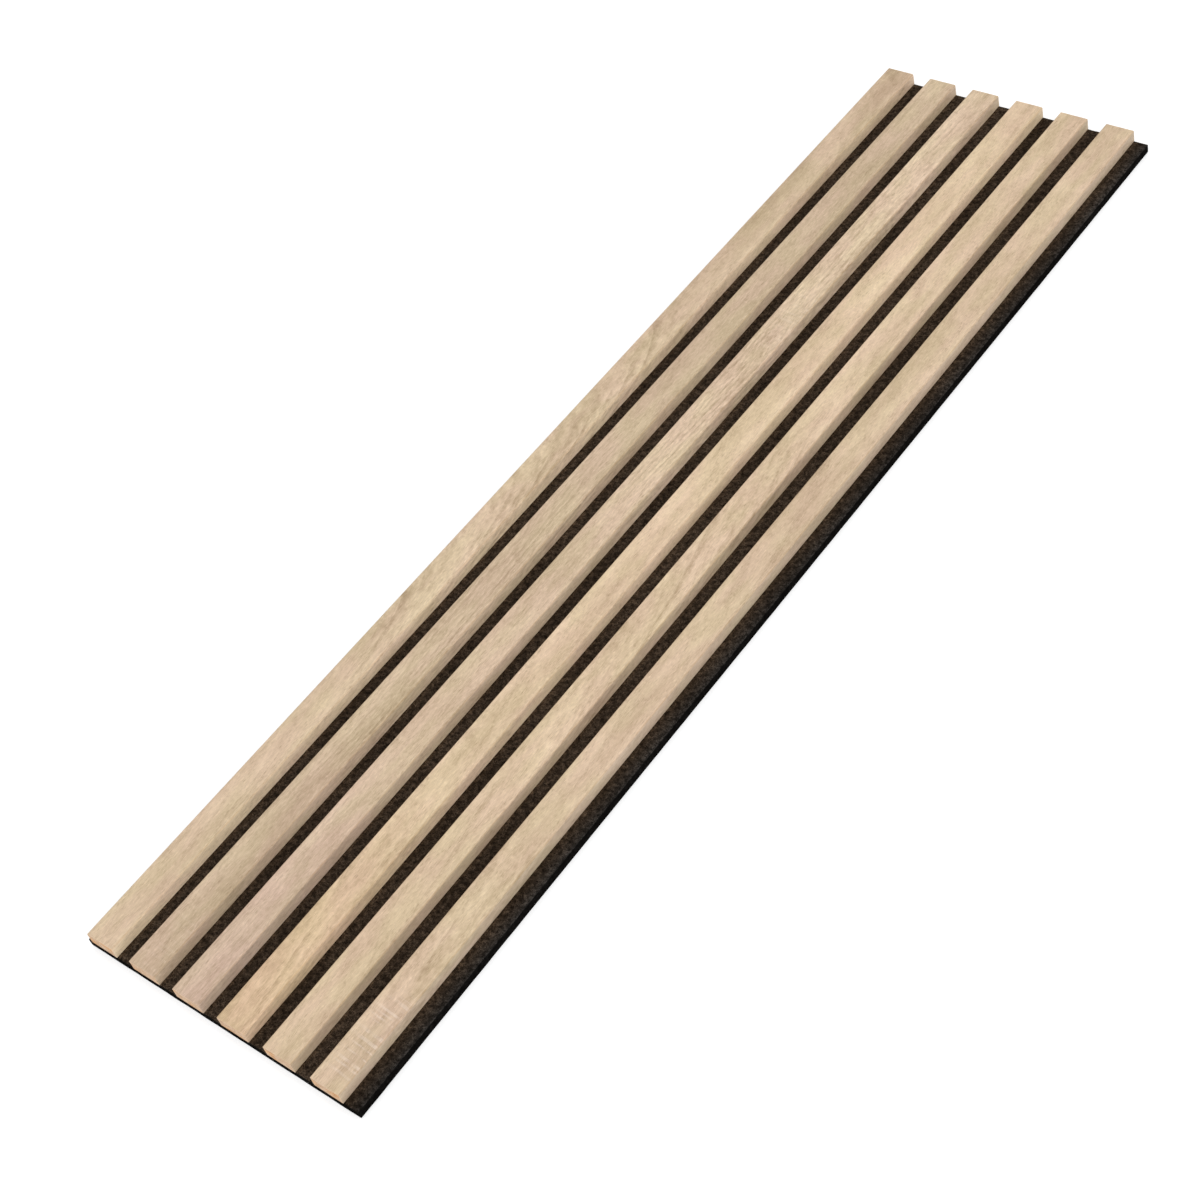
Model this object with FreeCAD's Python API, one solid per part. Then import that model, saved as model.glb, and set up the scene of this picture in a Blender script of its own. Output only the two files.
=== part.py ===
# Acoustic slat wall panel, lying face up on the back of its felt.
# Slats of fibreboard, each wrapped in wood-decor foil over its face and both sides, are bonded
# to one sheet of felt. X runs across the slats, Y along them, and Z out of the face.
# The origin is the middle of the felt's back.

import FreeCAD, Part
import os

# Driving dimensions, in millimetres
PANEL_LENGTH = 1200.0  # along the slats; felt and slats are sawn off together
SLAT_COUNT = 6
SLAT_WIDTH = 30.0  # over the wrap
SLAT_HEIGHT = 12.0  # from the felt to the face, over the wrap
SLAT_GAP = 20.0  # felt that shows between two slats
WRAP_THICKNESS = 0.4  # decor foil
CORE_EDGE_RADIUS = 0.8  # rounding of the core's two face edges, under the wrap
FELT_THICKNESS = 9.0
NARROW_LIP = 5.0  # felt beyond the first slat

# Sizes that follow
SLAT_PITCH = SLAT_WIDTH + SLAT_GAP
WIDE_LIP = SLAT_GAP - NARROW_LIP  # beyond the last slat, so that panels side by side keep the gap
FELT_WIDTH = NARROW_LIP + SLAT_COUNT * SLAT_WIDTH + (SLAT_COUNT - 1) * SLAT_GAP + WIDE_LIP
WRAP_EDGE_RADIUS = CORE_EDGE_RADIUS + WRAP_THICKNESS
CORE_WIDTH = SLAT_WIDTH - 2 * WRAP_THICKNESS
CORE_HEIGHT = SLAT_HEIGHT - WRAP_THICKNESS
NEAR_END = -PANEL_LENGTH / 2
FIRST_SLAT_MIDDLE = -FELT_WIDTH / 2 + NARROW_LIP + SLAT_WIDTH / 2


def rounded_bar(middle, width, height, radius):
    """A bar along the whole panel that stands on the felt, with its two face edges rounded.

    middle is the bar's place across the panel. The section has a flat foot, two upright sides,
    two quarter arcs and a flat face.
    """
    left = middle - width / 2
    right = middle + width / 2
    foot = FELT_THICKNESS
    face = FELT_THICKNESS + height
    bow = radius * (1 - 0.5**0.5)  # how far an arc's middle lies inside the square corner

    def point(x, z):
        return FreeCAD.Vector(x, NEAR_END, z)

    section = Part.Wire(
        [
            Part.LineSegment(point(left, foot), point(left, face - radius)).toShape(),
            Part.Arc(
                point(left, face - radius),
                point(left + bow, face - bow),
                point(left + radius, face),
            ).toShape(),
            Part.LineSegment(point(left + radius, face), point(right - radius, face)).toShape(),
            Part.Arc(
                point(right - radius, face),
                point(right - bow, face - bow),
                point(right, face - radius),
            ).toShape(),
            Part.LineSegment(point(right, face - radius), point(right, foot)).toShape(),
            Part.LineSegment(point(right, foot), point(left, foot)).toShape(),
        ]
    )
    return Part.Face(section).extrude(FreeCAD.Vector(0, PANEL_LENGTH, 0))


def felt_backing():
    """The felt sheet that carries the slats, square at every edge."""
    corner = FreeCAD.Vector(-FELT_WIDTH / 2, NEAR_END, 0)
    return Part.makeBox(FELT_WIDTH, PANEL_LENGTH, FELT_THICKNESS, corner)


def slat_core(middle):
    """The fibreboard bar inside one slat."""
    return rounded_bar(middle, CORE_WIDTH, CORE_HEIGHT, CORE_EDGE_RADIUS)


def slat_wrap(middle):
    """The foil of one slat: over the face and both sides, open at the foot and at both ends."""
    slat = rounded_bar(middle, SLAT_WIDTH, SLAT_HEIGHT, WRAP_EDGE_RADIUS)
    return slat.cut(slat_core(middle)).Solids[0]


def save(shape, node):
    """Write one piece to its own STEP file and print its volume."""
    shape.exportStep(f"parts/{node}.step")
    print(f"{node}: {shape.Volume:.1f} mm3, valid {shape.isValid()}")


os.makedirs("parts", exist_ok=True)
save(felt_backing(), "felt_backing")
for number in range(1, SLAT_COUNT + 1):
    slat_middle = FIRST_SLAT_MIDDLE + (number - 1) * SLAT_PITCH
    save(slat_core(slat_middle), f"slat_core_{number}")
    save(slat_wrap(slat_middle), f"slat_wrap_{number}")
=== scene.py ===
# %% [markdown]
# # An acoustic slat panel
# Six oak-look slats stand on one sheet of black felt. The drawing, which is loaded first, settles every
# size and place. This lesson dresses it: the felt gets its needled surface, each slat gets a printed
# oak wrap that runs round its edges, and the sawn ends show the fibreboard inside. Every new piece
# takes its size from the drawing, so nothing has to be fitted afterwards.

# %% Load the drawing
import math

import bpy
import numpy as np
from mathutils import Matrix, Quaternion, Vector


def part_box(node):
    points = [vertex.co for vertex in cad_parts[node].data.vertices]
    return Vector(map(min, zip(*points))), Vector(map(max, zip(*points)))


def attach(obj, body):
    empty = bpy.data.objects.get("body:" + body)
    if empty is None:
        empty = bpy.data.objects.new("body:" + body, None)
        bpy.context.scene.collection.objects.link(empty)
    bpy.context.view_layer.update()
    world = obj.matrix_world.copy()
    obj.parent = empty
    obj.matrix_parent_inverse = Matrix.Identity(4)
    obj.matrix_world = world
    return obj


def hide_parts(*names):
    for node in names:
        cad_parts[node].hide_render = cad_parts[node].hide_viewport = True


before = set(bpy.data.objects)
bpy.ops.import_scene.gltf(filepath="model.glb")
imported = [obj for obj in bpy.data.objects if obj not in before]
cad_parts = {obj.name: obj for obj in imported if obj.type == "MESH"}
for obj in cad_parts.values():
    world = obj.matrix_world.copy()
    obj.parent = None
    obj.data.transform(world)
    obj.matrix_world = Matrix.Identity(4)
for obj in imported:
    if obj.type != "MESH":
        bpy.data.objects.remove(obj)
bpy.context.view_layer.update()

# %% [markdown]
# ## Camera
# A camera is a place, a direction and a lens. Here the view comes from the right of the near end, well
# above the panel, and the camera is rolled a little so that the slats climb steeply through the
# picture. It could be turned by three angles, but a point to look at is easier to choose, so the turn
# is worked out from that. A lens of about 66 mm on a 36 mm wide sensor is a mild telephoto, which keeps
# the slats nearly parallel.

# %% Camera
EYE = Vector((0.9985, -0.9373, 1.3971))
AIM = Vector((0.0208, -0.1250, 0.0210))
LENS_MM = 65.93
SENSOR_MM = 36.0
ROLL_DEGREES = -17.68
FARTHEST_M = 50.0

camera_data = bpy.data.cameras.new("camera")
camera_data.lens = LENS_MM
camera_data.sensor_width = SENSOR_MM
camera_data.clip_end = FARTHEST_M
camera = bpy.data.objects.new("camera", camera_data)
camera.location = EYE
level = (AIM - EYE).to_track_quat("-Z", "Y")
camera.rotation_euler = (level @ Quaternion((0, 0, 1), math.radians(ROLL_DEGREES))).to_euler()
bpy.context.scene.collection.objects.link(camera)
bpy.context.scene.camera = camera
print("camera stands", round((AIM - EYE).length, 3), "m from the face")

# %% [markdown]
# ## Small helpers for nodes
# A finish is a graph of nodes. It could be drawn by hand in the node editor, but a script draws the same
# graph every time. Adding a node, setting its options and wiring its inputs takes several lines each
# time, so `put` does all three. `maths`, `blend` and `spread` are the nodes that come back most often:
# one sum, one mix of two colours, and one stretch of a range of values onto another.

# %% Small helpers for nodes
def wire(tree, made, wires):
    """Give a node its inputs by name or number, each a plain value or another node's output."""
    for name, value in wires.items():
        if isinstance(value, bpy.types.NodeSocket):
            tree.links.new(value, made.inputs[name])
        else:
            made.inputs[name].default_value = value


def put(tree, kind, wires=None, **options):
    """Add one shader node: options are its own settings, and wires gives its inputs as for wire."""
    made = tree.nodes.new("ShaderNode" + kind)
    for name, value in options.items():
        setattr(made, name, value)
    wire(tree, made, wires or {})
    return made


def maths(tree, operation, *terms):
    """One arithmetic step on one, two or three terms."""
    return put(tree, "Math", dict(enumerate(terms)), operation=operation).outputs[0]


def product(tree, first, *others):
    """All the terms multiplied together."""
    for other in others:
        first = maths(tree, "MULTIPLY", first, other)
    return first


def blend(tree, share, first, second, way="MIX"):
    """Two colours mixed: share 0 gives the first, share 1 the second, or the first treated by it.

    A Mix node has sockets for several kinds of value: 6, 7 and output 2 are those for colours.
    """
    wires = {0: share, 6: first, 7: second}
    return put(tree, "Mix", wires, data_type="RGBA", blend_type=way).outputs[2]


def spread(tree, value, low, high, to_low=0.0, to_high=1.0):
    """A smooth step: low becomes to_low, high becomes to_high, and values beyond them stay there.

    Where low is the larger number, the step goes down instead of up.
    """
    wires = {"Value": value, "From Min": low, "From Max": high, "To Min": to_low, "To Max": to_high}
    return put(tree, "MapRange", wires, interpolation_type="SMOOTHSTEP").outputs[0]


print("node helpers ready")

# %% [markdown]
# ## Random blobs
# Nearly every natural finish here starts from noise: smooth random values. Blender's noise asks how
# many blobs there are in one unit of length. A size is easier to choose, so these helpers take the
# size of a blob along each axis. A blob that is long one way and narrow the other looks like a
# fibre. From here on, a value whose name ends in NOISE holds the sizes of the blobs, the detail, which
# is how many finer layers are added, and the roughness, which is how strong those are. A value whose
# name ends in CUT holds the two ends of a smooth step, and sometimes what they become.

# %% Random blobs
def stretched(tree, vector, scales):
    """Coordinates multiplied axis by axis, so that a pattern is drawn out where the scale is small."""
    return put(tree, "VectorMath", {0: vector, 1: scales}, operation="MULTIPLY").outputs[0]


def noise(tree, vector, sizes, detail, roughness):
    """Smooth random values from 0 to 1 about 0.5, in blobs of about the given size along each axis."""
    scaled = stretched(tree, vector, tuple(1.0 / size for size in sizes))
    wires = {"Vector": scaled, "Scale": 1.0, "Detail": detail, "Roughness": roughness}
    return put(tree, "TexNoise", wires, noise_dimensions="3D").outputs["Fac"]


def noise_along(tree, value, size, detail):
    """Smooth random values from 0 to 1 that follow one number, with a hump for about every size."""
    wires = {"W": value, "Scale": 1.0 / size, "Detail": detail}
    return put(tree, "TexNoise", wires, noise_dimensions="1D").outputs["Fac"]


def swing(tree, value, strength):
    """Values about 0.5 made into values about 0: the value less a half, times the strength."""
    return maths(tree, "MULTIPLY_ADD", value, strength, -0.5 * strength)


print("noise helpers ready")

# %% [markdown]
# ## Materials and groups
# The panel has three finishes: printed oak, raw fibreboard and felt. Each could be a graph of its own
# from end to end, but six oak strips would then be six copies. A node group is a small graph with named
# inputs and outputs. It is built once and placed in several materials, each with values of its own. All
# three finishes end alike, in a Principled shader, so `dress` gives it what each of them has: a colour,
# a roughness, a fine relief and some shine.

# %% Materials and groups
def new_group(name, inputs, outputs):
    """An empty node group from names and kinds of sockets, what its inputs give, and its output node."""
    tree = bpy.data.node_groups.new(name, "ShaderNodeTree")
    for label, kind in inputs.items():
        tree.interface.new_socket(label, in_out="INPUT", socket_type="NodeSocket" + kind)
    for label, kind in outputs.items():
        tree.interface.new_socket(label, in_out="OUTPUT", socket_type="NodeSocket" + kind)
    return tree, tree.nodes.new("NodeGroupInput").outputs, tree.nodes.new("NodeGroupOutput")


def empty_material(name):
    """A material with an empty graph."""
    material = bpy.data.materials.new(name)
    material.use_nodes = True
    material.node_tree.nodes.clear()
    return material, material.node_tree


def new_material(name):
    """A material, its graph, and its Principled shader, which is wired to the output."""
    material, tree = empty_material(name)
    shader = put(tree, "BsdfPrincipled")
    put(tree, "OutputMaterial", {"Surface": shader.outputs[0]})
    return material, tree, shader


def dress(tree, shader, looks, relief_m, relief_share, shine):
    """Wire a shader to its looks, named Color, Roughness and Height, where the height becomes a bump."""
    wires = {"Height": looks["Height"], "Distance": relief_m, "Strength": relief_share}
    bump = put(tree, "Bump", wires).outputs[0]
    wires = {"Base Color": looks["Color"], "Roughness": looks["Roughness"], "Normal": bump}
    wire(tree, shader, wires | {"Specular IOR Level": shine})


print("material helpers ready")

# %% [markdown]
# ## The floor
# The panel lies on a plain white studio floor. The white could come from more light, but that would
# bleach the oak. So the floor is a pale square that also glows a little, and a Light Path node shows
# the glow only where the camera sees it. This adds no light to the panel, and the panel still shades
# the floor.

# %% The floor
FLOOR_HALF_M = 8.0
FLOOR_Z_M = -0.0004
FLOOR_PALE = (0.86, 0.86, 0.86, 1.0)
FLOOR_LIFT = 0.32


def seen_directly(tree):
    """1 for what the camera sees, also in mirrors or glass, and 0 for light that falls on things."""
    path = put(tree, "LightPath").outputs
    mirrored = maths(tree, "MAXIMUM", path["Is Glossy Ray"], path["Is Transmission Ray"])
    return maths(tree, "MAXIMUM", path["Is Camera Ray"], mirrored)


corners = FLOOR_HALF_M * np.array([[-1, -1], [1, -1], [1, 1], [-1, 1]])
floor_mesh = bpy.data.meshes.new("studio_floor")
floor_mesh.from_pydata(np.column_stack([corners, np.full(4, FLOOR_Z_M)]).tolist(), [], [[0, 1, 2, 3]])
floor = bpy.data.objects.new("studio_floor", floor_mesh)
bpy.context.scene.collection.objects.link(floor)

floor_paint, tree = empty_material("floor_paint")
paint = put(tree, "BsdfDiffuse", {"Color": FLOOR_PALE}).outputs[0]
lifted = product(tree, seen_directly(tree), FLOOR_LIFT)
lift = put(tree, "Emission", {"Strength": lifted}).outputs[0]
both = put(tree, "AddShader", {0: paint, 1: lift}).outputs[0]
put(tree, "OutputMaterial", {"Surface": both})
floor_mesh.materials.append(floor_paint)
print("floor", 2 * FLOOR_HALF_M, "m wide")

# %% [markdown]
# ## Sky and lamp
# An even glow from all round lights every side of the panel, and one wide soft lamp gives the forms a
# lit side and a darker side. Area lamps could do this too, but a sun with a wide angle lights both ends
# of a long panel alike. It stands on the camera's side, so the sawn ends are nearly as bright as the
# faces, while the flanks, which look onto dark felt, are darker. The sky is white where the camera
# sees it, as the floor is.

# %% Sky and lamp
SKY_WHITE = (1.0, 1.0, 1.0, 1.0)
SKY_GLOW = 0.72
LAMP_FROM = Vector((0.53, -0.51, 0.65))
LAMP_WATTS = 1.42
LAMP_ANGLE_DEGREES = 40.0

world = bpy.data.worlds.new("studio")
world.use_nodes = True
tree = world.node_tree
tree.nodes.clear()
glow = maths(tree, "MULTIPLY_ADD", seen_directly(tree), 1.0 - SKY_GLOW, SKY_GLOW)
sky = put(tree, "Background", {"Color": SKY_WHITE, "Strength": glow}).outputs[0]
put(tree, "OutputWorld", {"Surface": sky})
bpy.context.scene.world = world

lamp_data = bpy.data.lights.new("soft_lamp", "SUN")
lamp_data.energy = LAMP_WATTS
lamp_data.angle = math.radians(LAMP_ANGLE_DEGREES)
lamp = bpy.data.objects.new("soft_lamp", lamp_data)
lamp.rotation_euler = LAMP_FROM.to_track_quat("Z", "Y").to_euler()
bpy.context.scene.collection.objects.link(lamp)
bpy.context.scene.view_settings.view_transform = "Standard"
print("lamp", LAMP_WATTS, "W/m2, sky", SKY_GLOW)

# %% [markdown]
# ## Grids of faces
# The felt and the foil are bent and lumpy sheets, so each is made of grids of points. Primitives from
# the Add menu could be cut up and bent by hand, but a grid is worked out in one go and fits any size.
# `grid_quads` joins a grid of point numbers into four-cornered faces, and gives each corner its place
# on the grid from 0 to 1, which is what a map for textures needs.

# %% Grids of faces
def grid_quads(numbers):
    """Faces over a grid of point numbers, and their corners' shares of the way along its two axes.

    From its first corner a face goes along the first axis, so its normal is that axis crossed with the
    second.
    """
    rows, columns = numbers.shape
    row, column = np.meshgrid(np.arange(rows - 1), np.arange(columns - 1), indexing="ij")
    rows_of = np.stack([row, row + 1, row + 1, row], -1).reshape(-1, 4)
    columns_of = np.stack([column, column, column + 1, column + 1], -1).reshape(-1, 4)
    shares = np.stack([rows_of / (rows - 1), columns_of / (columns - 1)], -1)
    return numbers[rows_of, columns_of], shares


print("grid helper ready")

# %% [markdown]
# ## Pieces from points
# A mesh is a list of points and a list of faces that name them. Blender can add them one by one, but
# the panel has more than a hundred thousand, so `new_piece` hands over whole arrays. A map gives each
# corner of a face its place on a flat picture or pattern, and a mask gives each point a number. A
# material can read both by name, which is how a finish knows where it is on the piece.

# %% Pieces from points
def new_piece(name, places, quads, smooth_degrees):
    """A mesh object from points and four-cornered faces, smooth where faces meet at a smaller angle."""
    mesh = bpy.data.meshes.new(name)
    mesh.vertices.add(len(places))
    mesh.vertices.foreach_set("co", np.asarray(places, np.float32).ravel())
    mesh.loops.add(quads.size)
    mesh.loops.foreach_set("vertex_index", quads.ravel().astype(np.int32))
    mesh.polygons.add(len(quads))
    mesh.polygons.foreach_set("loop_start", np.arange(0, quads.size, 4, dtype=np.int32))
    mesh.update(calc_edges=True)
    mesh.validate()
    mesh.shade_smooth()
    mesh.set_sharp_from_angle(angle=math.radians(smooth_degrees))
    piece = bpy.data.objects.new(name, mesh)
    bpy.context.scene.collection.objects.link(piece)
    return piece


def add_map(piece, name, corners):
    """A UV map from one pair of numbers for each corner of each face."""
    piece.data.uv_layers.new(name=name).uv.foreach_set("vector", np.asarray(corners, np.float32).ravel())


def add_mask(piece, name, values):
    """A number for each point, which a material can read by name."""
    mask = piece.data.attributes.new(name, "FLOAT", "POINT")
    mask.data.foreach_set("value", np.asarray(values, np.float32))


print("piece helpers ready")

# %% [markdown]
# ## The felt as a box
# The backing is one sheet of needled polyester felt, sawn to size together with the slats, and its cut
# edges are a little soft. A cube with a Bevel modifier would give the edges, but its large faces would
# have no points to move. So the sheet is the skin of a box, drawn on lines that lie closer together at
# the edges. Each point near an edge is pulled to an inner box and pushed back out by the radius, which
# rounds every edge at once.

# %% The felt as a box
FELT_EDGE_M = 0.0007
FELT_STEP_M = 0.004
SAME_PLACE_DIGITS = 7


def edge_lines(low, high, radius, step):
    """Grid lines from low to high: evenly spaced within, and a third of a radius apart at both ends."""
    count = max(2, round((high - low - 2 * radius) / step) + 1)
    within = np.linspace(low + radius, high - radius, count)
    rim = radius * np.array([0.0, 1 / 3, 2 / 3])
    return np.concatenate([low + rim, within, high - rim[::-1]])


def box_skin(lines):
    """A box's skin as one closed mesh: the low and the high side on each axis, joined at the edges."""
    places, quads, count = [], [], 0
    for axis in range(3):
        first, second = (axis + 1) % 3, (axis + 2) % 3
        for end in (0, -1):
            grid = np.zeros((len(lines[first]), len(lines[second]), 3))
            grid[..., axis] = lines[axis][end]
            grid[..., first] = lines[first][:, None]
            grid[..., second] = lines[second][None, :]
            numbers = count + np.arange(grid[..., 0].size).reshape(grid.shape[:2])
            faces, _ = grid_quads(numbers)
            quads.append(faces if end else faces[:, ::-1])
            places.append(grid.reshape(-1, 3))
            count += numbers.size
    places = np.concatenate(places)
    rounded = np.round(places, SAME_PLACE_DIGITS)
    _, kept, number = np.unique(rounded, axis=0, return_index=True, return_inverse=True)
    return places[kept], number.reshape(-1)[np.concatenate(quads)]


felt_low, felt_high = (np.array(corner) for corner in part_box("felt_backing"))
lines = [edge_lines(felt_low[axis], felt_high[axis], FELT_EDGE_M, FELT_STEP_M) for axis in range(3)]
places, quads = box_skin(lines)
inner = np.clip(places, felt_low + FELT_EDGE_M, felt_high - FELT_EDGE_M)
outward = places - inner
outward = outward / np.linalg.norm(outward, axis=1, keepdims=True)
places = inner + FELT_EDGE_M * outward
print("felt box:", len(places), "points,", len(quads), "faces")

# %% [markdown]
# ## The felt's dips
# Needling leaves felt a little uneven: it dips by some tenths of a millimetre between the slats and
# along its cut edges, but lies flat where a slat is glued to it and where it meets the wall. A texture
# could fake the dips, but they show at the edges of the sheet, so they are real. Random numbers would
# make neighbouring points jump, so the dips are soft waves that cross at odd angles.

# %% The felt's dips
MM_PER_M = 1000.0
SLATS = range(1, 7)
DIP_M = 0.0003
DIP_SIZE_M = 0.012
DIP_DOWN_EDGE = 3.0
GLUE_MARGIN_M = 0.001
FACING = 0.9


def waves(across, along, size):
    """Soft lumps from 0 to 1: four crossing waves of different lengths and directions, added."""
    total = np.sin(across / size * 2.1 + 1.3 * np.sin(along / size * 0.7))
    total += np.sin(along / size * 1.7 + 1.1 * np.sin(across / size * 1.3))
    total += np.sin((across * 0.8 + along * 0.6) / size * 3.1 + 0.5)
    total += np.sin((across * 0.5 - along * 0.9) / size * 2.6 + 2.0)
    return 0.5 + 0.125 * total


slat_boxes = [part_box(f"slat_wrap_{n}") for n in SLATS]
across = places[:, 0]
aways = [np.maximum(low[0] - across, across - high[0]).clip(min=0.0) for low, high in slat_boxes]
glued = (np.min(aways, axis=0) < GLUE_MARGIN_M) & (outward[:, 2] > FACING)
dips = DIP_M * waves(across, places[:, 1] + DIP_DOWN_EDGE * places[:, 2], DIP_SIZE_M)
dips[glued | (outward[:, 2] < -FACING)] = 0.0
places = places - outward * dips[:, None]
print("felt dips by up to", round(MM_PER_M * dips.max(), 2), "mm")

# %% [markdown]
# ## The felt sheet
# Now the sheet becomes a piece. Its finish differs from place to place, which could be painted by hand,
# but both places are known from the shape, so two masks are worked out. The first is 1 on the cut
# sides, which are darker: partly the cut felt's own colour, partly painted shade. The second is 1 beside
# a slat and falls away from it: it warms the felt there as painted light reflected from the oak. Between
# two slats the glow of both is added.

# %% The felt sheet
FELT_SMOOTH_DEGREES = 50.0
CUT_FROM = 0.4
CUT_STEEPNESS = 1.6
# Painted light: how far the warm glow, as if reflected from the oak, reaches from each slat
BOUNCE_REACH_M = 0.015

felt = new_piece("felt_sheet", places, quads, FELT_SMOOTH_DEGREES)
sideways = np.hypot(outward[:, 0], outward[:, 1])
# The cut sides are darker: partly the felt's own colour, partly painted shade
add_mask(felt, "cut_edge_and_shade", np.clip(CUT_STEEPNESS * (sideways - CUT_FROM), 0.0, 1.0))
# Painted light: the felt beside each slat is warmed as if by light reflected from the oak
painted_oak_bounce = np.sum([np.clip(1.0 - away / BOUNCE_REACH_M, 0.0, 1.0) for away in aways], axis=0)
add_mask(felt, "painted_oak_bounce", np.minimum(painted_oak_bounce, 1.0) * np.clip(outward[:, 2], 0.0, 1.0))
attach(felt, "root")
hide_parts("felt_backing")
print("felt sheet:", len(felt.data.polygons), "faces")

# %% [markdown]
# ## The outline of a wrap
# Each slat is a bar of fibreboard wrapped in a thin printed foil, which runs up one flank, over the
# face and down the other flank. Seen from the end, the foil is a U turned over: up the side, round a
# quarter circle, across, round another quarter circle, and down. A Solidify modifier could give a bent
# strip its thickness, but then its rims would not be ours to shape. So the outline is computed twice,
# for the outside and for the inside.

# %% The outline of a wrap
FOIL_M = 0.0004
FACE_RADIUS_M = 0.0012
SIDE_STEPS, ARC_STEPS, HALF_FACE_STEPS = 4, 6, 6


def u_outline(half, height, radius):
    """The outline (across, up) of a strip bent over a bar: side, quarter circle, face, and mirrored."""
    rise = np.linspace(0, height - radius, SIDE_STEPS + 1)[:-1]
    side = np.column_stack([np.full(SIDE_STEPS, -half), rise])
    turn = np.linspace(0, math.pi / 2, ARC_STEPS + 1)[:-1]
    arc = np.column_stack([-half + radius * (1 - np.cos(turn)), height - radius + radius * np.sin(turn)])
    run = np.linspace(-half + radius, 0, HALF_FACE_STEPS + 1)
    face = np.column_stack([run, np.full(len(run), height)])
    left = np.concatenate([side, arc, face])
    return np.concatenate([left, (left * [-1, 1])[-2::-1]])


slat_low, slat_high = (np.array(corner) for corner in slat_boxes[0])
slat_half, slat_height = (slat_high[0] - slat_low[0]) / 2, slat_high[2] - slat_low[2]
outside = u_outline(slat_half, slat_height, FACE_RADIUS_M)
inside = u_outline(slat_half - FOIL_M, slat_height - FOIL_M, FACE_RADIUS_M - FOIL_M)
strip_steps = np.linalg.norm(np.diff(outside, axis=0), axis=1)
unrolled = np.concatenate([[0], np.cumsum(strip_steps)])
unrolled -= unrolled[-1] / 2
print("foil strip", round(2 * MM_PER_M * unrolled[-1], 2), "mm wide,", len(outside), "points across")

# %% [markdown]
# ## The skins of a wrap
# Both outlines are carried along the slat, as a profile is along a path. A curve with a bevel shape
# could do that, but its ends would be cut clean. The saw leaves the foil a little ragged, so at the
# ends the outer skin stops some tenths of a millimetre short here and there, by the same soft waves.

# %% The skins of a wrap
LENGTH_STEPS = 150
RAGGED_M = 0.0003
RAGGED_SIZE_M = 0.0009
NEAR_SHIFT, FAR_SHIFT, FAR_START = 0.37, 0.53, 9.0


def foil_points(low, high, seed):
    """Points of one wrap by skin (outer, inner), place on the outline and station; and the stations.

    A chip's depth is the cube of soft waves across the strip, so few are deep. Seed moves the waves.
    """
    stations = np.linspace(low[1], high[1], LENGTH_STEPS + 1)
    skins = np.stack([outside, inside])[:, :, None]
    grid = np.zeros((2, len(outside), len(stations), 3))
    grid[..., 0] = (low[0] + high[0]) / 2 + skins[..., 0]
    grid[..., 1] = stations
    grid[..., 2] = low[2] + skins[..., 1]
    near = waves(unrolled, NEAR_SHIFT * seed, RAGGED_SIZE_M)
    far = waves(unrolled, FAR_SHIFT * seed + FAR_START, RAGGED_SIZE_M)
    grid[0, :, 0, 1] += RAGGED_M * near**3
    grid[0, :, -1, 1] -= RAGGED_M * far**3
    return grid, stations


station_step = (slat_high[1] - slat_low[1]) / LENGTH_STEPS
print("stations every", round(MM_PER_M * station_step, 1), "mm")

# %% [markdown]
# ## The shell of a wrap
# The two skins are joined by strips at the feet and at the sawn ends, which closes the shell. Each part
# also needs a place on a square map called "OFBake", for turning the finish into a picture. Blender
# could unwrap the shell by itself, but a strip more than twenty times as long as it is wide would leave
# most of the square empty. So the outer skin is folded into five rows that fill the square, which keeps
# the grain sharp.

# %% The shell of a wrap
MAP_ROWS = 5
MAP_SIDE = 0.006
ROW_MARGIN = 0.04
# Each part's bottom and top on the square
MAP_BANDS = {
    "outer skin": (0.005, 0.880),
    "inner skin": (0.885, 0.955),
    "near rim": (0.960, 0.968),
    "far rim": (0.970, 0.978),
    "left foot": (0.980, 0.987),
    "right foot": (0.989, 0.996),
}


def fold(shares, rows, low, high):
    """Places on the square for a strip folded into rows, each with its part of the strip's second axis.

    A corner's row is that of its face, found from the face's middle, and rows are set a little apart.
    """
    across, along = shares[..., 0], shares[..., 1] * rows
    row = np.floor(along.mean(axis=1, keepdims=True))
    tall = (high - low) / rows
    upright = low + tall * (row + ROW_MARGIN + (1 - 2 * ROW_MARGIN) * across)
    return np.stack([MAP_SIDE + (1 - 2 * MAP_SIDE) * (along - row), upright], -1)


def foil_faces(outer, inner):
    """Faces of the shell, and their corners' places on the square, from the two skins' point numbers."""
    parts = {
        "outer skin": outer,
        "inner skin": inner[::-1],
        "near rim": np.stack([inner[::-1, 0], outer[::-1, 0]]),
        "far rim": np.stack([outer[::-1, -1], inner[::-1, -1]]),
        "left foot": np.stack([inner[0], outer[0]]),
        "right foot": np.stack([outer[-1], inner[-1]]),
    }
    quads, baked = [], []
    for name, part in parts.items():
        faces, shares = grid_quads(part)
        rows = MAP_ROWS if name == "outer skin" else 1
        quads.append(faces)
        baked.append(fold(shares, rows, *MAP_BANDS[name]))
    return np.concatenate(quads), np.concatenate(baked)


print("a shell has", len(MAP_BANDS), "parts")

# %% [markdown]
# ## Six wraps
# All six slats have the same outline, so one function makes each wrap between the corners of its drawn
# foil. They could be copies of one mesh, but then their sawn ends would have the same chips. A second
# map, "unrolled", is the foil laid flat in metres. The oak will be drawn on it, so the grain runs on
# round the edges as print does. The mask `bend` is 1 on the two rounded edges, where the oak is
# darkened as painted shade.

# %% Six wraps
FOIL_SMOOTH_DEGREES = 40.0


def bend_mask(count):
    """For each point of an outline, 1 in the middle of a bend, falling to 0 at its ends by a sine."""
    bend = np.zeros(count)
    bend[SIDE_STEPS : SIDE_STEPS + ARC_STEPS + 1] = np.sin(np.linspace(0, math.pi, ARC_STEPS + 1))
    return np.maximum(bend, bend[::-1])


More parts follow.
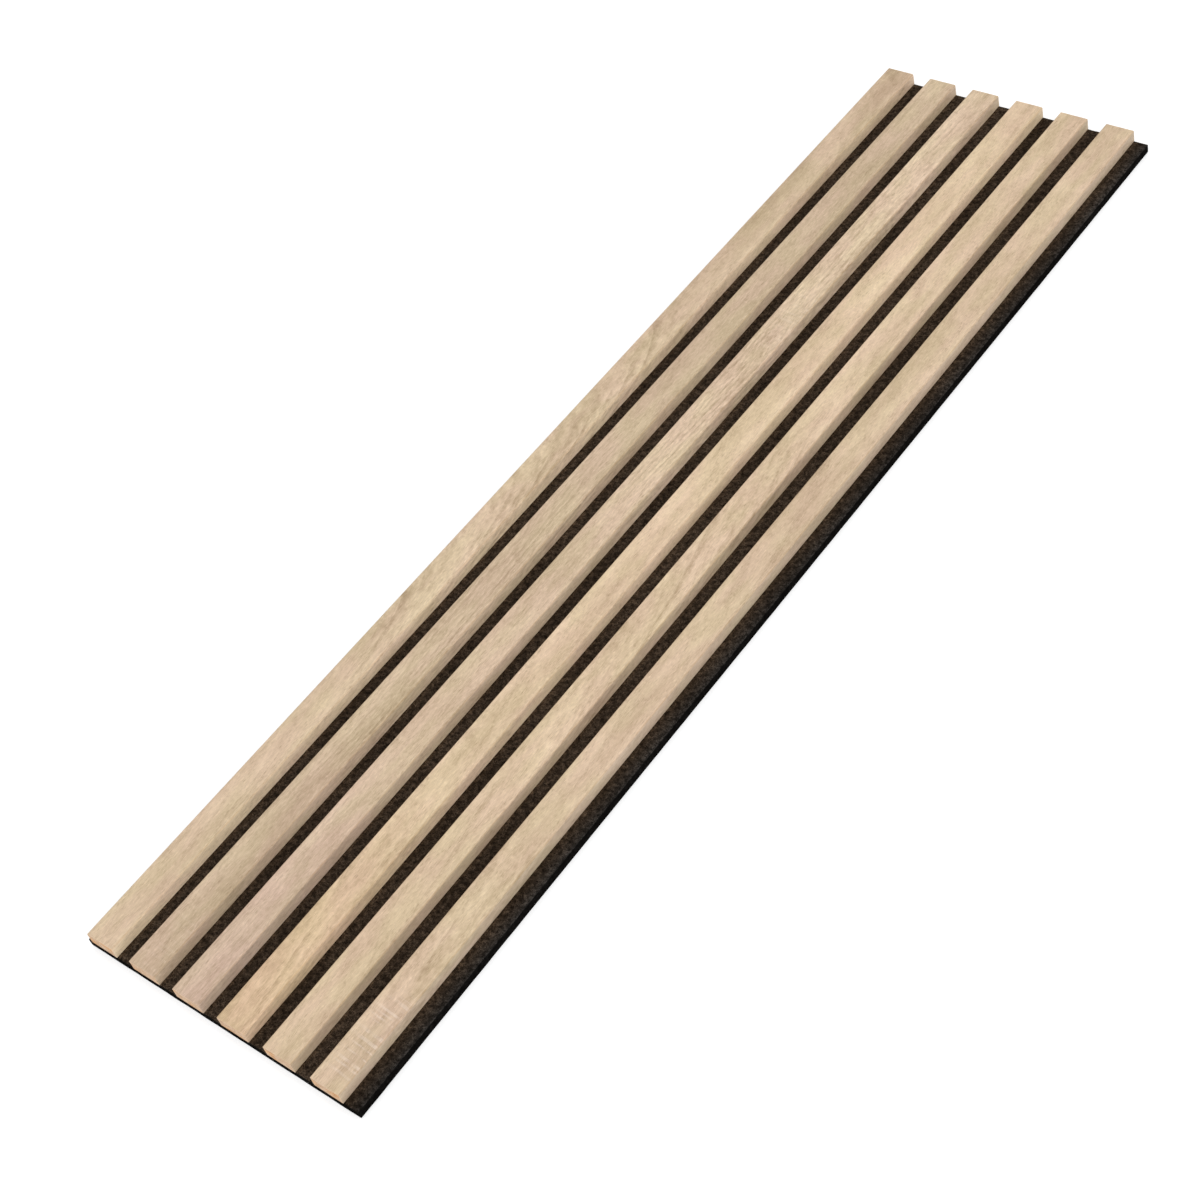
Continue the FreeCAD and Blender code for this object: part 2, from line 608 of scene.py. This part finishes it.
def wrap_piece(name, low, high, seed):
    """One foil wrap between two corners, with its two maps and its mask of the bends."""
    grid, stations = foil_points(low, high, seed)
    numbers = np.arange(grid[..., 0].size).reshape(grid.shape[:3])
    quads, baked = foil_faces(*numbers)
    piece = new_piece(name, grid.reshape(-1, 3), quads, FOIL_SMOOTH_DEGREES)
    flat = np.zeros(grid.shape[:3] + (2,))
    flat[..., 0] = unrolled[None, :, None]
    flat[..., 1] = stations - low[1]
    add_map(piece, "unrolled", flat.reshape(-1, 2)[quads])
    add_map(piece, "OFBake", baked)
    bend = bend_mask(len(outside))
    add_mask(piece, "bend", np.broadcast_to(bend[None, :, None], grid.shape[:3]).ravel())
    return piece


wraps = []
for n, (low, high) in zip(SLATS, slat_boxes):
    wrap = wrap_piece(f"oak_wrap_{n}", low, high, n)
    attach(wrap, "root")
    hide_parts(f"slat_wrap_{n}")
    wraps.append(wrap)
print("six wraps of", len(wraps[0].data.polygons), "faces each")

# %% [markdown]
# ## Facts of six strips
# The strips are slit from one wide printed roll, so neighbours do not match: each shows another part of
# the print, as if its board were cut at another distance from the heart of the tree. Six separate
# patterns would say the same thing six times. So one print is made that takes a few facts, and each
# slat has its own. A cut is told by the heart's place, its depth and the lean of the board. Figure is
# where rings show best, and saw marks show in places too. Speckle is the strength of the fine grain,
# and fade and tilt let the tone drift along the slat and across it.

# %% Facts of six strips
# One number for each slat from left to right, where lengths are in millimetres
STRIP_FACTS = {
    "Heart": (-20.0, -70.0, 52.0, -17.0, -40.0, -22.0),
    "Depth": (-6.0, 30.0, 22.0, 42.0, 60.0, 60.0),
    "Lean": (0.12, 0.03, 0.03, 0.05, 0.08, 0.04),
    "Figure": (1.0, 0.9, 1.2, 0.7, 0.8, 0.9),
    "Figure At": (580.0, 420.0, 850.0, 140.0, 500.0, 140.0),
    "Figure Reach": (210.0, 190.0, 260.0, 170.0, 180.0, 90.0),
    "Saw Marks": (0.0, 0.15, 0.40, 0.0, 0.0, 1.0),
    "Saw At": (0.0, 25.0, 835.0, 0.0, 0.0, 50.0),
    "Speckle": (1.08, 1.34, 1.28, 1.0, 1.04, 1.04),
    "Fade": (-0.32, 0.03, 0.06, 0.08, 0.02, -0.03),
    "Tilt": (0.03, -0.02, 0.02, 0.02, -0.11, 0.12),
}
print("facts for each strip:", len(STRIP_FACTS))

# %% [markdown]
# ## Colours of six strips
# Some strips are a shade darker, yellower or greyer than their neighbours, and some take on a tint
# towards the near end. Each right flank is also made paler or deeper, and a little bluer, as painted
# light and shade. Each strip could be a set of colours chosen by eye, but strips of one roll share their
# hue. So all start from one mean oak, which is made lighter or darker, and in one case cooler, with a
# deep and a pale end for its grain.

# %% Colours of six strips
OAK_MEAN = np.array([0.660, 0.500, 0.336])
TONE_STEP = np.array([0.32, 0.36, 0.42])
COOLER = np.array([0.997, 1.0, 1.02])
LIGHTS = (0.950, 0.890, COOLER, 1.070, 1.030, 0.995)
PLAIN = (1.0, 1.0, 1.0, 1.0)
GREYISH = (0.98, 0.97, 0.985, 1.0)
ROSY = (0.91, 0.875, 0.94, 1.0)
GOLDEN = (0.93, 0.885, 0.83, 1.0)
NEAR_TINTS = (PLAIN, GREYISH, ROSY, GOLDEN, PLAIN, PLAIN)
# Painted light and shade on the right flank: a bluer tint, and for each strip how much paler or deeper
PAINTED_FLANK_TINT = np.array([1.0, 1.03, 1.08])
PAINTED_FLANK_LIGHTS = (1.28, 1.13, 1.03, 1.12, 0.94, 0.89)


def shade(colour, light):
    """A colour times its light, with the fourth number that a colour has in Blender."""
    return tuple(colour * light) + (1.0,)


strip_colours = [
    {
        "Deep": shade(OAK_MEAN * (1 - TONE_STEP), light),
        "Pale": shade(OAK_MEAN * (1 + TONE_STEP), light),
        "Near": near_tint,
        # Painted light and shade on the right flank
        "Painted Flank": shade(PAINTED_FLANK_TINT, painted_flank_light),
    }
    for light, near_tint, painted_flank_light in zip(LIGHTS, NEAR_TINTS, PAINTED_FLANK_LIGHTS)
]
print("colours for each strip:", list(strip_colours[0]))

# %% [markdown]
# ## The oak print: growth rings
# An oak adds a ring a year round its heart. A board cuts these cylinders at a slant, so they show as
# long lines, or as pointed arches where the cut comes near the heart. A picture of a board could be
# pasted on, but it would have one size and would repeat, so the rings are worked out as distances from
# a line and bent by noise, as in a real log. All the oak functions work in millimetres on the foil laid
# flat: across the slat, along it, and through the roll.

# %% Growth rings
RING_MM = 3.8
SWAY_MM = 14.0
SWAY_NOISE = (50.0, 220.0, 1.0), 2.0, 0.5
QUIVER_MM = 3.2
QUIVER_NOISE = (6.2, 45.0, 1.0), 3.0, 0.6
EARLY_RISE_CUT = 0.0, 0.10
EARLY_FALL_CUT = 0.75, 0.15
YEAR_RINGS, YEAR_DETAIL = 1.7, 1.0
YEAR_CUT = 0.3, 0.7, 0.3, 1.0
SHOWN_NOISE = (22.0, 100.0, 1.0), 2.0, 0.5
SHOWN_CUT = 0.36, 0.60, 0.1, 1.0


def growth_rings(tree, given, vector, across, along):
    """A ring's number, how much of its porous early wood shows, and the quiver that bends it.

    The number is the distance from the heart over the ring width: the root of across squared plus depth
    squared, where depth grows by Lean for each millimetre along the board. Early wood is a hump at the
    start of each ring, weaker in some years and hidden in some places.
    """
    sway = swing(tree, noise(tree, vector, *SWAY_NOISE), SWAY_MM)
    quiver = swing(tree, noise(tree, vector, *QUIVER_NOISE), QUIVER_MM)
    aside = maths(tree, "SUBTRACT", across, given["Heart"])
    aside = maths(tree, "ADD", aside, maths(tree, "ADD", sway, quiver))
    depth = maths(tree, "MULTIPLY_ADD", along, given["Lean"], given["Depth"])
    square = maths(tree, "MULTIPLY_ADD", aside, aside, product(tree, depth, depth))
    ring = maths(tree, "DIVIDE", maths(tree, "SQRT", square), RING_MM)

    phase = maths(tree, "FRACT", ring)
    hump = product(tree, spread(tree, phase, *EARLY_FALL_CUT), spread(tree, phase, *EARLY_RISE_CUT))
    year = spread(tree, noise_along(tree, ring, YEAR_RINGS, YEAR_DETAIL), *YEAR_CUT)
    shown = spread(tree, noise(tree, vector, *SHOWN_NOISE), *SHOWN_CUT)
    return ring, product(tree, hump, year, shown), quiver


print("rings", RING_MM, "mm wide")

# %% [markdown]
# ## The oak print: layers of grain
# Between its rings oak is mottled at every scale, from clouds as long as a hand to fibres as fine as a
# hair. One noise with many octaves would be simpler, but on wood each scale is drawn out by its own
# amount. So each is a layer of its own in a table, and the grain is their weighed sum.

# %% Layers of grain
# Each layer's blob size across, along and through the roll (mm), its detail, roughness and weight
BROAD_GRAIN = {
    "clouds": ((22.0, 140.0, 1.0), 1.0, 0.50, 0.80),
    "patches": ((6.8, 26.0, 1.0), 3.0, 0.60, 0.58),
}
FINE_GRAIN = {
    "grains": ((1.7, 6.5, 1.0), 3.0, 0.65, 0.52),
    "fibres": ((1.0, 60.0, 1.0), 4.0, 0.70, 0.28),
    "threads": ((0.32, 9.0, 1.0), 2.0, 0.60, 0.70),
}


def weighed(tree, vector, table):
    """The layers of a table by name, and their sum: each layer's distance from 0.5 times its weight."""
    layers, total = {}, 0.0
    for name, (sizes, detail, roughness, weight) in table.items():
        layers[name] = noise(tree, vector, sizes, detail, roughness)
        total = maths(tree, "ADD", total, swing(tree, layers[name], weight))
    return layers, total


print("oak grain in", len(BROAD_GRAIN), "broad and", len(FINE_GRAIN), "fine layers")

# %% [markdown]
# ## The oak print: figure
# Figure is the drawing that the rings make on the face of a board, and on each strip it shows best
# round one place. The rings could be laid on as plain lines, but those look drawn with a pen. So the
# figure is strokes of noise on coordinates that follow the rings, with the early wood a little darker.

# %% Figure of the oak
FIGURE_CUT = 1.5, 0.7, 0.3, 1.0
STROKE_NOISE = (2.0, 12.0, 1.0), 2.0, 0.6
EARLY_DEPTH, EARLY_LIFT = -0.30, 0.08


def far_from(tree, value, place):
    """How far a value is from a place, either way."""
    return maths(tree, "ABSOLUTE", maths(tree, "SUBTRACT", value, place))


def oak_figure(tree, given, along, through, ring, early):
    """Strokes along the rings less their early wood, times Figure, and weaker beyond Figure Reach."""
    away = maths(tree, "DIVIDE", far_from(tree, along, given["Figure At"]), given["Figure Reach"])
    strength = product(tree, spread(tree, away, *FIGURE_CUT), given["Figure"])
    wires = {0: product(tree, ring, RING_MM), 1: along, 2: through}
    round_heart = put(tree, "CombineXYZ", wires).outputs[0]
    strokes = swing(tree, noise(tree, round_heart, *STROKE_NOISE), 1.0)
    strokes = maths(tree, "ADD", strokes, maths(tree, "MULTIPLY_ADD", early, EARLY_DEPTH, EARLY_LIFT))
    return product(tree, strokes, strength)


print("figure strokes about", STROKE_NOISE[0][1], "mm long")

# %% [markdown]
# ## The oak print: tone
# Tone is how pale the wood is at each place. The grain and the figure alone could give it, but a real
# strip also has pale flecks, and drifts from paler to deeper along its length and across it. Each is
# added by itself, so each can be set by itself.

# %% Tone of the oak
SLAT_MM = MM_PER_M * (slat_high[0] - slat_low[0])
LENGTH_MM = MM_PER_M * (slat_high[1] - slat_low[1])
FLECK_NOISE = (1.4, 3.3, 0.5), 1.0, 0.5
FLECK_CUT = 0.60, 0.72
FLECK_LIFT = 0.16


def limited(tree, value, low, high):
    """A value kept between low and high."""
    return maths(tree, "MINIMUM", maths(tree, "MAXIMUM", value, low), high)


def oak_tone(tree, given, vector, ring, early):
    """How pale the oak is, from 0, deep, to 1, pale, and the layers of grain by name.

    The tone is 0.5, plus the broad grain, plus the fine grain times Speckle, plus the figure, plus pale
    flecks, plus Fade and Tilt times the share of the way along and across, counted from the middle.
    """
    across, along, through = put(tree, "SeparateXYZ", {0: vector}).outputs
    broad, tone = weighed(tree, vector, BROAD_GRAIN)
    fine, speckle = weighed(tree, vector, FINE_GRAIN)
    tone = maths(tree, "ADD", tone, maths(tree, "MULTIPLY_ADD", speckle, given["Speckle"], 0.5))
    tone = maths(tree, "ADD", tone, oak_figure(tree, given, along, through, ring, early))
    flecks = spread(tree, noise(tree, vector, *FLECK_NOISE), *FLECK_CUT)
    tone = maths(tree, "MULTIPLY_ADD", flecks, FLECK_LIFT, tone)
    along_share = maths(tree, "MULTIPLY_ADD", along, 1.0 / LENGTH_MM, -0.5)
    tone = maths(tree, "MULTIPLY_ADD", along_share, given["Fade"], tone)
    across_share = maths(tree, "DIVIDE", limited(tree, across, -0.5 * SLAT_MM, 0.5 * SLAT_MM), SLAT_MM)
    tone = maths(tree, "MULTIPLY_ADD", across_share, given["Tilt"], tone)
    return limited(tree, tone, 0.0, 1.0), broad | fine


print("the print covers", round(LENGTH_MM), "mm by", round(SLAT_MM), "mm on each face")

# %% [markdown]
# ## The oak print: pores
# Oak's pores are short dark dashes, most of them where a ring begins. Thousands of small meshes could
# be laid along the rings, but noise with long thin blobs needs no points at all: only its brightest
# parts are kept, cut off sharply.

# %% Pores
DASH_NOISE = (0.55, 6.0, 1.0), 1.0, 0.5
DASH_CUT = 0.57, 0.66
DASH_PATCH_CUT = 0.58, 0.36, 0.3, 1.0
VESSEL_NOISE = (0.24, 5.0, 0.5), 0.0, 0.5
VESSEL_CUT = 0.60, 0.66
VESSELS_EARLY, VESSELS_LATE = 0.8, 0.35


def oak_pores(tree, vector, patches, early):
    """1 in a pore: dashes in the deeper patches, and finer vessels that are densest in early wood."""
    dashes = spread(tree, noise(tree, vector, *DASH_NOISE), *DASH_CUT)
    dashes = product(tree, dashes, spread(tree, patches, *DASH_PATCH_CUT))
    vessels = spread(tree, noise(tree, vector, *VESSEL_NOISE), *VESSEL_CUT)
    vessels = product(tree, vessels, maths(tree, "MULTIPLY_ADD", early, VESSELS_EARLY, VESSELS_LATE))
    return maths(tree, "MAXIMUM", dashes, vessels)


print("pores about", DASH_NOISE[0][1], "mm long")

# %% [markdown]
# ## The oak print: saw marks
# A saw leaves pale ticks across the grain, and the print shows them in a few places. Evenly spaced
# stripes would be simpler, but they look like a ruler. So the ticks follow a noise along the slat, on a
# distance that is slanted a little and quivers with the rings, and a second noise breaks them up.

# %% Saw marks
TICK_MM = 3.4
TICK_DETAIL = 0.0
TICK_CUT = 0.53, 0.62
TICK_SLANT = 0.08
TICK_QUIVER = 0.4
SAWN_REACH_MM = 48.0
RIGHT_EDGE_CUT = 17.0, 13.0
LEFT_HALF_CUT = -11.0, 2.0, 0.25, 1.0
BROKEN_NOISE = (12.0, 25.0, 0.2), 2.0, 0.5
BROKEN_CUT = 0.36, 0.56, 0.15, 1.0


def saw_ticks(tree, given, vector, across, along, quiver):
    """How strong a tick is, and how near the sawn place is, both from 0 to 1.

    Ticks are the high parts of a noise that follows the slanted distance along. They fade with the
    distance from Saw At, over the right edge and towards the left one, and noise breaks them.
    """
    slanted = maths(tree, "MULTIPLY_ADD", across, TICK_SLANT, along)
    slanted = maths(tree, "MULTIPLY_ADD", quiver, TICK_QUIVER, slanted)
    ticks = spread(tree, noise_along(tree, slanted, TICK_MM, TICK_DETAIL), *TICK_CUT)
    near = spread(tree, far_from(tree, along, given["Saw At"]), SAWN_REACH_MM, 0.5 * SAWN_REACH_MM)
    sides = product(tree, spread(tree, across, *RIGHT_EDGE_CUT), spread(tree, across, *LEFT_HALF_CUT))
    sawn = product(tree, near, given["Saw Marks"], sides)
    broken = spread(tree, noise(tree, vector, *BROKEN_NOISE), *BROKEN_CUT)
    return product(tree, ticks, sawn, broken), sawn


print("saw ticks about", TICK_MM, "mm apart")

# %% [markdown]
# ## The oak print: colour
# A printer lays one ink over another, and the print is coloured the same way. Tone chooses between a
# deep and a pale oak. Over that lie a faint yellow and pink cloudiness, a tint that some strips take on
# towards the near end, the saw marks on a slightly rosy ground, painted light and shade on the right
# flank, the pores, and painted shade on the bends. A single colour ramp would be shorter, but it could
# not change from place to place.

# %% Colour of the oak
YELLOWER = (0.985, 1.008, 0.970, 1.0)
PINKER = (1.018, 0.992, 1.030, 1.0)
CLOUDY_NOISE = (20.0, 59.0, 0.33), 2.0, 0.5
CLOUDY_CUT = 0.32, 0.68
NEAR_END_CUT = 300.0, 30.0
SAWN_TINT = (0.96, 0.945, 0.98, 1.0)
FLANK_CUT = 13.8, 15.7
TICK_PALE = (0.88, 0.74, 0.63, 1.0)
TICK_SHARE = 0.42
PORE_DARK = (0.30, 0.19, 0.11, 1.0)
PORE_SHARE = 0.44
# Painted shade on the rounded edges of the face
PAINTED_BEND_SHADE = (0.78, 0.72, 0.64, 1.0)
BEND_PATCH_CUT = 0.35, 0.62, 0.30, 0.95


def oak_colour(tree, given, across, along, tone, patches, sawn, ticks, pores):
    """The colours laid over each other, each where its mask says, by mixing or by multiplying."""
    colour = blend(tree, tone, given["Deep"], given["Pale"])
    cloudy = spread(tree, noise(tree, given["Vector"], *CLOUDY_NOISE), *CLOUDY_CUT)
    colour = blend(tree, 1.0, colour, blend(tree, cloudy, YELLOWER, PINKER), "MULTIPLY")
    colour = blend(tree, spread(tree, along, *NEAR_END_CUT), colour, given["Near"], "MULTIPLY")
    colour = blend(tree, sawn, colour, SAWN_TINT, "MULTIPLY")
    # Painted light and shade on the right flank
    colour = blend(tree, spread(tree, across, *FLANK_CUT), colour, given["Painted Flank"], "MULTIPLY")
    colour = blend(tree, product(tree, ticks, TICK_SHARE), colour, TICK_PALE)
    colour = blend(tree, product(tree, pores, PORE_SHARE), colour, PORE_DARK)
    # Painted shade on the rounded edges, stronger in some patches
    bent = product(tree, given["Bend"], spread(tree, patches, *BEND_PATCH_CUT))
    return blend(tree, bent, colour, PAINTED_BEND_SHADE, "MULTIPLY")


print("the right flank begins", FLANK_CUT[0], "mm from the middle of the strip")

# %% [markdown]
# ## The oak print as one group
# The parts of the print come together in one node group, with an input for every fact of a strip. The
# parts could be mixed in each material, but one group keeps six materials alike. Printed foil is also
# embossed a little, so pores and threads make it rougher and give it a fine relief.

# %% The oak print as one group
FOIL_ROUGH, THREAD_ROUGH, PORE_ROUGH = 0.50, 0.10, 0.15
PORE_HEIGHT, THREAD_HEIGHT, TICK_HEIGHT = -1.0, 0.35, 0.25


def oak_print_group():
    """The oak's colour, roughness and relief, from the place on the foil and the facts of a strip."""
    inputs = {"Vector": "Vector", "Bend": "Float"}
    inputs |= dict.fromkeys(strip_colours[0], "Color") | dict.fromkeys(STRIP_FACTS, "Float")
    outputs = {"Color": "Color", "Roughness": "Float", "Height": "Float"}
    tree, given, result = new_group("oak_print", inputs, outputs)
    vector = given["Vector"]
    across, along, _ = put(tree, "SeparateXYZ", {0: vector}).outputs
    ring, early, quiver = growth_rings(tree, given, vector, across, along)
    tone, layers = oak_tone(tree, given, vector, ring, early)
    patches, threads = layers["patches"], layers["threads"]
    pores = oak_pores(tree, vector, patches, early)
    ticks, sawn = saw_ticks(tree, given, vector, across, along, quiver)
    rough = maths(tree, "MULTIPLY_ADD", threads, THREAD_ROUGH, FOIL_ROUGH)
    height = maths(tree, "MULTIPLY_ADD", pores, PORE_HEIGHT, product(tree, threads, THREAD_HEIGHT))
    wires = {
        "Color": oak_colour(tree, given, across, along, tone, patches, sawn, ticks, pores),
        "Roughness": maths(tree, "MULTIPLY_ADD", pores, PORE_ROUGH, rough),
        "Height": maths(tree, "MULTIPLY_ADD", ticks, TICK_HEIGHT, height),
    }
    wire(tree, result, wires)
    return tree


oak_print = oak_print_group()
print("oak print group:", len(oak_print.nodes), "nodes")

# %% [markdown]
# ## Six strips from one print
# Each wrap gets a material of its own, which is little more than the shared print with one strip's
# facts. One material with a random number for each object would be shorter, but then nobody could
# choose how a slat looks. A Mapping node turns the flat foil's metres into millimetres and moves each
# strip to its own part of the roll, by the third axis of the noise.

# %% Six strips from one print
ROLL_STEP_MM = 53.0
MM_SCALE = (MM_PER_M, MM_PER_M, MM_PER_M)
FOIL_RELIEF_M = 0.00012
FOIL_RELIEF_SHARE = 0.7
FOIL_SHINE = 0.35


def read_mask(tree, name):
    """The number that a piece's mask holds at each place."""
    return put(tree, "Attribute", attribute_name=name).outputs["Fac"]


def oak_material(number):
    """The printed foil of one slat: the shared print, moved along the roll, with that slat's facts."""
    material, tree, shader = new_material(f"oak_foil_{number}")
    flat = put(tree, "UVMap", uv_map="unrolled").outputs[0]
    wires = {"Vector": flat, "Location": (0.0, 0.0, ROLL_STEP_MM * number), "Scale": MM_SCALE}
    facts = {"Vector": put(tree, "Mapping", wires).outputs[0], "Bend": read_mask(tree, "bend")}
    facts |= {fact: values[number - 1] for fact, values in STRIP_FACTS.items()}
    facts |= strip_colours[number - 1]
    oak = put(tree, "Group", facts, node_tree=oak_print)
    dress(tree, shader, oak.outputs, FOIL_RELIEF_M, FOIL_RELIEF_SHARE, FOIL_SHINE)
    return material


for n, wrap in zip(SLATS, wraps):
    wrap.data.materials.append(oak_material(n))
print("oak strips:", [wrap.data.materials[0].name for wrap in wraps])

# %% [markdown]
# ## The fibreboard cores
# Inside the foil is medium density fibreboard: wood fibre and resin pressed flat. Only its sawn ends
# show. New meshes could be made for the cores, but the drawn solids have the right form, so they stay
# and get a material: pale fibres, darker specks, a cloudy orange tint where the resin is richer, and
# the fine ridges that a saw leaves. It reads the place in the drawing, so each end differs.

# %% The fibreboard cores
# Each layer's blob size along the three axes (mm), its detail, roughness and weight
BOARD_GRAIN = {
    "grains": ((0.9, 0.9, 0.6), 4.0, 0.65, 0.9),
    "tufts": ((6.0, 20.0, 4.5), 2.0, 0.50, 1.0),
    "ridges": ((10.0, 3.3, 0.38), 1.0, 0.50, 0.3),
}
BOARD_DARK, BOARD_TAN = (0.47, 0.29, 0.17, 1.0), (0.70, 0.510, 0.355, 1.0)
BOARD_CUT = -0.35, 0.25
RESIN_TINT = (1.05, 0.89, 0.70, 1.0)
RESIN_NOISE = (17.0, 40.0, 12.0), 1.0, 0.5
RESIN_CUT = 0.48, 0.66
SPECK_DARK = (0.30, 0.16, 0.08, 1.0)
SPECK_NOISE = (1.1, 1.1, 0.6), 2.0, 0.5
SPECK_CUT = 0.60, 0.74
SPECK_SHARE = 0.35
BOARD_ROUGH, GRAIN_ROUGH = 0.75, 0.15
BOARD_RELIEF_M = 0.00015
BOARD_RELIEF_SHARE = 0.8
BOARD_SHINE = 0.2


def drawn_place(tree):
    """The place in the drawing, in millimetres."""
    return stretched(tree, put(tree, "TexCoord").outputs["Object"], MM_SCALE)


def board_material():
    """Raw fibreboard: the weighed layers choose from dark to tan, and resin and specks lie over that."""
    material, tree, shader = new_material("raw_fibreboard")
    place = drawn_place(tree)
    layers, tone = weighed(tree, place, BOARD_GRAIN)
    resin = spread(tree, noise(tree, place, *RESIN_NOISE), *RESIN_CUT)
    specks = spread(tree, noise(tree, place, *SPECK_NOISE), *SPECK_CUT)
    colour = blend(tree, spread(tree, tone, *BOARD_CUT), BOARD_DARK, BOARD_TAN)
    colour = blend(tree, resin, colour, RESIN_TINT, "MULTIPLY")
    looks = {
        "Color": blend(tree, product(tree, specks, SPECK_SHARE), colour, SPECK_DARK),
        "Roughness": maths(tree, "MULTIPLY_ADD", layers["grains"], GRAIN_ROUGH, BOARD_ROUGH),
        "Height": maths(tree, "ADD", layers["grains"], layers["ridges"]),
    }
    dress(tree, shader, looks, BOARD_RELIEF_M, BOARD_RELIEF_SHARE, BOARD_SHINE)
    return material


board = board_material()
for n in SLATS:
    core = bpy.data.objects[f"slat_core_{n}"]
    core.material_slots[0].material = board
print("fibreboard on", len(SLATS), "cores")

# %% [markdown]
# ## The felt's fibres
# Needled felt is a tangle of fine fibres that lie every way in the plane of the sheet. Real strands
# could be modelled, but there would be millions. Noise that is drawn out along one direction looks like
# strands, and four such layers, each turned another way, look like a tangle. Needling also leaves
# small lumps.

# %% The felt's fibres
STRAND_TURNS_DEGREES = (12.0, 57.0, 104.0, 149.0)
STRAND_LAYER_MM = 9.0
STRAND_NOISE = (0.6, 3.6, 1.7), 2.0, 0.6
STRAND_CUT = 0.44, 0.72
LUMP_NOISE = (4.5, 4.5, 4.5), 3.0, 0.6


def felt_fibres_group():
    """How far a strand lies on top, from 0 to 1, as the highest of four turned layers; and the lumps."""
    outputs = {"Strands": "Float", "Lumps": "Float"}
    tree, given, result = new_group("felt_fibres", {"Vector": "Vector"}, outputs)
    topmost = 0.0
    for layer, turn in enumerate(STRAND_TURNS_DEGREES):
        wires = {"Vector": given["Vector"], "Location": (0.0, 0.0, STRAND_LAYER_MM * layer)}
        wires["Rotation"] = (0.0, 0.0, math.radians(turn))
        turned = put(tree, "Mapping", wires).outputs[0]
        strands = spread(tree, noise(tree, turned, *STRAND_NOISE), *STRAND_CUT)
        topmost = maths(tree, "MAXIMUM", topmost, strands)
    wire(tree, result, {"Strands": topmost, "Lumps": noise(tree, given["Vector"], *LUMP_NOISE)})
    return tree


felt_fibres = felt_fibres_group()
print("felt fibres in", len(STRAND_TURNS_DEGREES), "layers")

# %% [markdown]
# ## The felt's finish
# Black felt is never quite black: the strands that lie on top catch a little warm light, more on the
# lumps than between them, and unevenly from place to place. One dark colour would look like rubber. The
# masks of the sheet come in here: a painted warm glow beside the slats stands for light reflected from
# the oak, and the cut edge is darker, partly because no strands lie flat there and partly as painted
# shade. Felt has no gloss at all, so its shine is set to nothing.

# %% The felt's finish
FELT_DARK, FELT_LIT = (0.0050, 0.0040, 0.0032, 1.0), (0.0790, 0.0725, 0.0665, 1.0)
LUMP_CUT = 0.30, 0.70, 0.25, 1.15
UNEVEN_NOISE = (30.0, 90.0, 30.0), 2.0, 0.5
UNEVEN_CUT = 0.30, 0.70, 0.75, 1.25
# Painted light: the warm tint of light reflected from the oak onto the felt beside the slats
PAINTED_BOUNCE_TINT = (1.72, 1.22, 0.80, 1.0)
# The darker cut sides: partly the felt's own colour, partly painted shade
CUT_AND_SHADE_DARK = (0.0032, 0.0030, 0.0028, 1.0)
CUT_AND_SHADE_SHARE = 0.9
FELT_ROUGH, STRAND_ROUGH = 0.98, -0.08
FELT_RELIEF_M = 0.0006
FELT_RELIEF_SHARE = 0.8
FELT_SHINE = 0.0


def felt_material():
    """Needled felt: strands times lumps times unevenness choose from dark to lit; painted light and
    shade tint it.
    """
    material, tree, shader = new_material("needled_felt")
    place = drawn_place(tree)
    fibres = put(tree, "Group", {"Vector": place}, node_tree=felt_fibres).outputs
    strands, lumps = fibres["Strands"], fibres["Lumps"]
    uneven = spread(tree, noise(tree, place, *UNEVEN_NOISE), *UNEVEN_CUT)
    lit = product(tree, strands, spread(tree, lumps, *LUMP_CUT), uneven)
    colour = blend(tree, lit, FELT_DARK, FELT_LIT)
    # Painted light: warm light reflected from the oak, beside the slats
    colour = blend(tree, read_mask(tree, "painted_oak_bounce"), colour, PAINTED_BOUNCE_TINT, "MULTIPLY")
    looks = {
        # Darker cut sides: partly the felt's own colour, partly painted shade
        "Color": blend(tree, product(tree, read_mask(tree, "cut_edge_and_shade"), CUT_AND_SHADE_SHARE), colour, CUT_AND_SHADE_DARK),
        "Roughness": maths(tree, "MULTIPLY_ADD", strands, STRAND_ROUGH, FELT_ROUGH),
        "Height": maths(tree, "ADD", strands, lumps),
    }
    dress(tree, shader, looks, FELT_RELIEF_M, FELT_RELIEF_SHARE, FELT_SHINE)
    return material


felt.data.materials.append(felt_material())
print("felt finish:", felt.data.materials[0].name)
